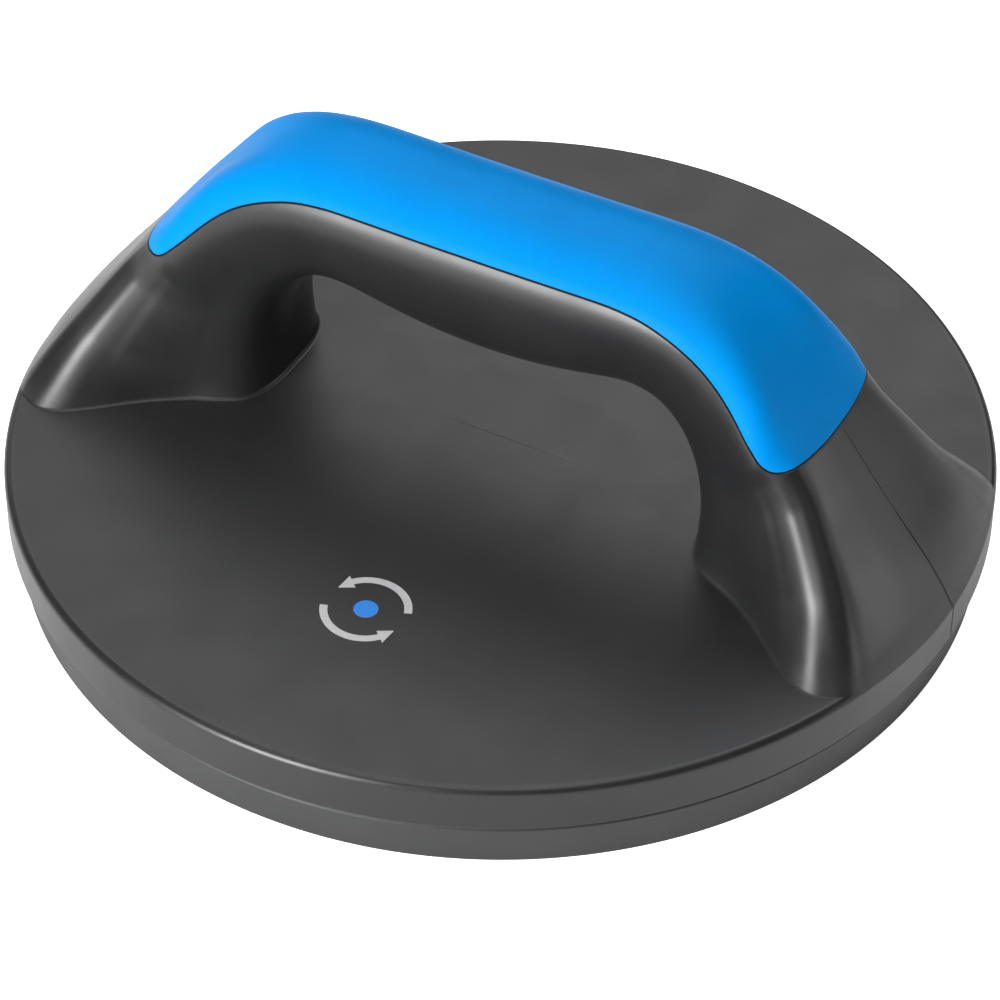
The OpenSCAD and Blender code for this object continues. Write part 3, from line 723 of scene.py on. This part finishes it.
def math_node(nt, op, a, b):
    n = node(nt, "ShaderNodeMath", operation=op)
    for i, x in enumerate((a, b)):
        if isinstance(x, (int, float)):
            n.inputs[i].default_value = x
        else:
            nt.links.new(x, n.inputs[i])
    return n.outputs[0]


def plastic(name, dark, light, rough, grain, depth, specular=0.5, scuff=0.06, coat=0.0, sheen=0.0, mottle=35.0, polish=None):
    """Moulded plastic: fine spark grain, slow colour drift, uneven polish, faint rub marks.
    polish = (z0, z1, amount): smoother above z1 metres and on the rim, where hands rub."""
    m, nt, b = new_material(name)
    coord = node(nt, "ShaderNodeTexCoord").outputs["Object"]
    drift = noise(nt, coord, mottle, 4.0, 0.6)
    tint = mix_colour(nt, spread(nt, drift, 0.32, 0.68, 0.0, 1.0), dark, light)
    fine = noise(nt, coord, grain, 2.0, 0.5)
    speck = mix_colour(nt, spread(nt, fine, 0.3, 0.7, 0.0, 0.10), tint, tuple(min(1.0, x * 1.7 + 0.01) for x in light[:3]) + (1.0,))
    nt.links.new(speck, b.inputs["Base Color"])
    # rub marks: stretched noise that polishes thin streaks
    mp = node(nt, "ShaderNodeMapping")
    mp.inputs["Scale"].default_value = (40.0, 420.0, 300.0)
    mp.inputs["Rotation"].default_value = (0.1, 0.2, 0.6)
    nt.links.new(coord, mp.inputs["Vector"])
    rub = noise(nt, mp.outputs["Vector"], 1.0, 5.0, 0.7)
    rub = spread(nt, rub, 0.62, 0.78, 0.0, 1.0)
    cloud = spread(nt, noise(nt, coord, 60.0, 5.0, 0.6), 0.3, 0.7, -0.5, 0.5)
    r = math_node(nt, "ADD", math_node(nt, "MULTIPLY", cloud, 0.07), rough)
    r = math_node(nt, "SUBTRACT", r, math_node(nt, "MULTIPLY", rub, scuff))
    if polish:
        xyz = node(nt, "ShaderNodeSeparateXYZ")
        nt.links.new(coord, xyz.inputs["Vector"])
        far = math_node(nt, "ADD", math_node(nt, "MULTIPLY", xyz.outputs["X"], xyz.outputs["X"]), math_node(nt, "MULTIPLY", xyz.outputs["Y"], xyz.outputs["Y"]))
        rim = spread(nt, far, 0.1370 ** 2, 0.1382 ** 2, 0.0, polish[2])
        hand = spread(nt, xyz.outputs["Z"], polish[0], polish[1], 0.0, polish[2])
        r = math_node(nt, "SUBTRACT", r, math_node(nt, "MAXIMUM", rim, hand))
    nt.links.new(r, b.inputs["Roughness"])
    b.inputs["Specular IOR Level"].default_value = specular
    b.inputs["Coat Weight"].default_value = coat
    b.inputs["Coat Roughness"].default_value = 0.25
    b.inputs["Sheen Weight"].default_value = sheen
    b.inputs["Sheen Roughness"].default_value = 0.5
    # grain relief
    pits = noise(nt, coord, grain * 1.6, 2.0, 0.5)
    h = math_node(nt, "ADD", math_node(nt, "MULTIPLY", fine, 0.7), math_node(nt, "MULTIPLY", pits, 0.5))
    bump = node(nt, "ShaderNodeBump", in_Strength=1.0, in_Distance=depth)
    nt.links.new(h, bump.inputs["Height"])
    nt.links.new(bump.outputs["Normal"], b.inputs["Normal"])
    return m


def metal(name, colour, rough, scale, anis=0.0):
    """Turned or drawn metal with fine marks, patchy polish and slight tarnish."""
    m, nt, b = new_material(name)
    coord = node(nt, "ShaderNodeTexCoord").outputs["Object"]
    patch = spread(nt, noise(nt, coord, 90.0, 4.0, 0.6), 0.3, 0.7, 0.0, 1.0)
    dark = tuple(x * 0.72 for x in colour[:3]) + (1.0,)
    nt.links.new(mix_colour(nt, patch, dark, colour), b.inputs["Base Color"])
    b.inputs["Metallic"].default_value = 1.0
    marks = noise(nt, coord, scale, 3.0, 0.7)
    r = math_node(nt, "ADD", spread(nt, marks, 0.3, 0.7, -0.06, 0.08), rough)
    nt.links.new(r, b.inputs["Roughness"])
    bump = node(nt, "ShaderNodeBump", in_Strength=0.5, in_Distance=0.00001)
    nt.links.new(marks, bump.inputs["Height"])
    nt.links.new(bump.outputs["Normal"], b.inputs["Normal"])
    return m


def ink(name, colour):
    """Pad-printed ink: slightly uneven cover and edge wear over a satin surface."""
    m, nt, b = new_material(name)
    coord = node(nt, "ShaderNodeTexCoord").outputs["Object"]
    f = spread(nt, noise(nt, coord, 900.0, 3.0, 0.6), 0.25, 0.75, 0.0, 1.0)
    nt.links.new(mix_colour(nt, f, tuple(x * 0.86 for x in colour[:3]) + (1.0,), colour), b.inputs["Base Color"])
    nt.links.new(spread(nt, noise(nt, coord, 500.0, 2.0, 0.5), 0.3, 0.7, 0.42, 0.6), b.inputs["Roughness"])
    bump = node(nt, "ShaderNodeBump", in_Strength=0.4, in_Distance=0.00001)
    nt.links.new(f, bump.inputs["Height"])
    nt.links.new(bump.outputs["Normal"], b.inputs["Normal"])
    return m


BLACK = plastic("shell_black", (0.0105, 0.0108, 0.0115, 1), (0.0150, 0.0152, 0.0158, 1), 0.44, 2600.0, 0.000012, 0.5, 0.05,
                polish=(0.0300, 0.0345, 0.09))
BASE = plastic("base_black", (0.022, 0.0225, 0.0235, 1), (0.029, 0.0295, 0.0305, 1), 0.52, 2200.0, 0.000012, 0.5, 0.04)
BLUE = plastic("cover_blue", (0.000, 0.195, 0.55, 1), (0.000, 0.218, 0.61, 1), 0.40, 2600.0, 0.000004, 0.03, 0.04)
RUBBER = plastic("tread_rubber", (0.012, 0.012, 0.012, 1), (0.020, 0.020, 0.019, 1), 0.78, 1500.0, 0.00003, 0.3, 0.03, sheen=0.2)
CAP = plastic("cap_black", (0.014, 0.014, 0.015, 1), (0.020, 0.020, 0.021, 1), 0.48, 2600.0, 0.00001)
NYLON = plastic("bush_nylon", (0.62, 0.58, 0.48, 1), (0.70, 0.67, 0.57, 1), 0.45, 1800.0, 0.00001, mottle=120.0)
CAGE = plastic("cage_nylon", (0.55, 0.54, 0.50, 1), (0.64, 0.63, 0.59, 1), 0.5, 1800.0, 0.00001, mottle=120.0)
RACE = metal("race_steel", (0.62, 0.63, 0.65, 1), 0.30, 1500.0)
BALL = metal("ball_steel", (0.72, 0.73, 0.75, 1), 0.12, 2500.0)
SCREW = metal("screw_steel", (0.50, 0.50, 0.52, 1), 0.36, 1800.0)
BRASS = metal("insert_brass", (0.72, 0.52, 0.22, 1), 0.30, 1800.0)
BOLT = metal("bolt_steel", (0.56, 0.57, 0.60, 1), 0.30, 1600.0)
GREY_INK = ink("ink_grey", (0.50, 0.50, 0.51, 1))
BLUE_INK = ink("ink_blue", (0.02, 0.22, 0.72, 1))


def paint(ob, mat):
    ob.data.materials.clear()
    ob.data.materials.append(mat)


for ob, mat in ((shell, BLACK), (cover, BLUE), (base, BASE), (cap, CAP), (mark_grey, GREY_INK), (mark_blue, BLUE_INK)):
    paint(ob, mat)
for name in ("outer_tread_visual", "inner_tread_visual"):
    paint(bpy.data.objects[name], RUBBER)
CAD_LOOK = {
    "lower_race": RACE, "upper_race": RACE, "lower_race_screws": SCREW, "upper_race_screws": SCREW, "pivot_bush": NYLON,
    "thrust_washer": NYLON, "ball_cage": CAGE, "bearing_balls": BALL, "pivot_insert": BRASS, "pivot_bolt": BOLT,
    "steel_washer": BOLT, "wave_washer": BOLT, "upper_shell": BLACK, "grip_cover": BLUE, "base_pan": BASE,
    "outer_tread": RUBBER, "inner_tread": RUBBER, "hub_cap": CAP}
for name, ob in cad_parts.items():
    paint(ob, CAD_LOOK[name])

# ---------------------------------------------------------------- floor and backdrop
FLOOR_GLOW = 0.24


def make_floor():
    """Pale sweep: flat under the object, far away it stays flat and meets the bright world."""
    n, r = 96, [0.0, 0.3, 0.7, 1.5, 4.0, 12.0]
    v = [(0, 0, 0)] + [(1000 * a * math.cos(2 * math.pi * k / n), 1000 * a * math.sin(2 * math.pi * k / n), 0) for a in r[1:] for k in range(n)]
    f = [(0, 1 + k, 1 + (k + 1) % n) for k in range(n)]
    f += [(1 + i * n + k, 1 + (i + 1) * n + k, 1 + (i + 1) * n + (k + 1) % n, 1 + i * n + (k + 1) % n) for i in range(len(r) - 2) for k in range(n)]
    ob = mesh_object("studio_floor", v, f)
    m, nt, b = new_material("studio_white")
    coord = node(nt, "ShaderNodeTexCoord").outputs["Object"]
    c = mix_colour(nt, noise(nt, coord, 6.0, 2.0, 0.5), (0.90, 0.90, 0.90, 1), (0.93, 0.93, 0.93, 1))
    nt.links.new(c, b.inputs["Base Color"])
    b.inputs["Roughness"].default_value = 0.9
    b.inputs["Specular IOR Level"].default_value = 0.1
    b.inputs["Emission Color"].default_value = (1, 1, 1, 1)
    # the camera sees the sweep blown out to white; as a light source it stays soft
    seen = nt.nodes.new("ShaderNodeLightPath").outputs["Is Camera Ray"]
    nt.links.new(math_node(nt, "ADD", math_node(nt, "MULTIPLY", seen, 0.75), FLOOR_GLOW), b.inputs["Emission Strength"])
    paint(ob, m)
    return ob


make_floor()

# ---------------------------------------------------------------- light
world = bpy.data.worlds.new("studio")
bpy.context.scene.world = world
world.use_nodes = True
wt = world.node_tree
wt.nodes.clear()
wout = wt.nodes.new("ShaderNodeOutputWorld")
bg = wt.nodes.new("ShaderNodeBackground")
geo = wt.nodes.new("ShaderNodeTexCoord")
sep = wt.nodes.new("ShaderNodeSeparateXYZ")
ramp = wt.nodes.new("ShaderNodeValToRGB")
wt.links.new(geo.outputs["Generated"], sep.inputs["Vector"])
wt.links.new(sep.outputs["Z"], ramp.inputs["Fac"])
ramp.color_ramp.elements[0].position = 0.0
ramp.color_ramp.elements[0].color = (1.0, 1.0, 1.0, 1)
ramp.color_ramp.elements[1].position = 0.25
ramp.color_ramp.elements[1].color = (0.30, 0.30, 0.31, 1)
wt.links.new(ramp.outputs["Color"], bg.inputs["Color"])
bg.inputs["Strength"].default_value = 0.06
wt.links.new(bg.outputs["Background"], wout.inputs["Surface"])


def area_light(name, azimuth, elevation, dist, size_x, size_y, power, aim=(0, 0, 0.05)):
    """Soft box. Azimuth 0 stands in front (-Y), 90 at the right (+X)."""
    a, e = math.radians(azimuth), math.radians(elevation)
    d = np.array([math.sin(a) * math.cos(e), -math.cos(a) * math.cos(e), math.sin(e)])
    L = bpy.data.lights.new(name, "AREA")
    L.shape, L.size, L.size_y, L.energy = "RECTANGLE", size_x, size_y, power
    ob = bpy.data.objects.new(name, L)
    bpy.context.scene.collection.objects.link(ob)
    z = d
    x = np.cross([0, 0, 1.0], z)
    x /= np.linalg.norm(x)
    y = np.cross(z, x)
    m = Matrix.Identity(4)
    for i in range(3):
        m[i][0], m[i][1], m[i][2], m[i][3] = x[i], y[i], z[i], d[i] * dist + aim[i]
    ob.matrix_world = m
    return ob


area_light("key_front", -16, 18, 1.6, 0.60, 0.90, 39.0)
area_light("edge_left", -120, 20, 1.6, 0.8, 0.7, 2.0)
area_light("back_high", -166, 50, 1.6, 1.4, 1.3, 13.5)
area_light("top_soft", 0, 82, 1.5, 1.2, 1.2, 10.0)
area_light("fill_right", 116, 11, 1.6, 0.7, 0.5, 3.4)

# ---------------------------------------------------------------- camera at the photo's angle
def photo_camera():
    f, d, h, roll, pan, tilt = 4.25023562, 6.4768438, 5.84482883, 5.00693887e-03, -6.91588644e-05, -3.02043057e-03
    turn = math.radians(28.3)
    el = math.atan2(h, d) + tilt
    fwd = np.array([math.sin(pan) * math.cos(el), math.cos(pan) * math.cos(el), -math.sin(el)])
    right = np.cross(fwd, [0, 0, 1.0])
    right /= np.linalg.norm(right)
    up = np.cross(right, fwd)
    r2 = right * math.cos(roll) + up * math.sin(roll)
    u2 = -right * math.sin(roll) + up * math.cos(roll)
    rz = np.array([[math.cos(turn), -math.sin(turn), 0], [math.sin(turn), math.cos(turn), 0], [0, 0, 1.0]])
    pos = rz @ np.array([0, -d, h]) * 0.140
    r2, u2, back = rz @ r2, rz @ u2, -(rz @ fwd)
    m = Matrix.Identity(4)
    for i in range(3):
        m[i][0], m[i][1], m[i][2], m[i][3] = r2[i], u2[i], back[i], pos[i]
    cam = bpy.data.cameras.new("photo_camera")
    cam.sensor_width, cam.lens = 36.0, 36.0 * f
    cam.clip_start, cam.clip_end = 0.05, 50.0
    ob = bpy.data.objects.new("photo_camera", cam)
    bpy.context.scene.collection.objects.link(ob)
    ob.matrix_world = m
    bpy.context.scene.camera = ob
    return ob


photo_camera()
bpy.context.scene.view_settings.view_transform = "Standard"
bpy.context.scene.view_settings.look = "None"

# ---------------------------------------------------------------- update the scene
bpy.context.view_layer.update()
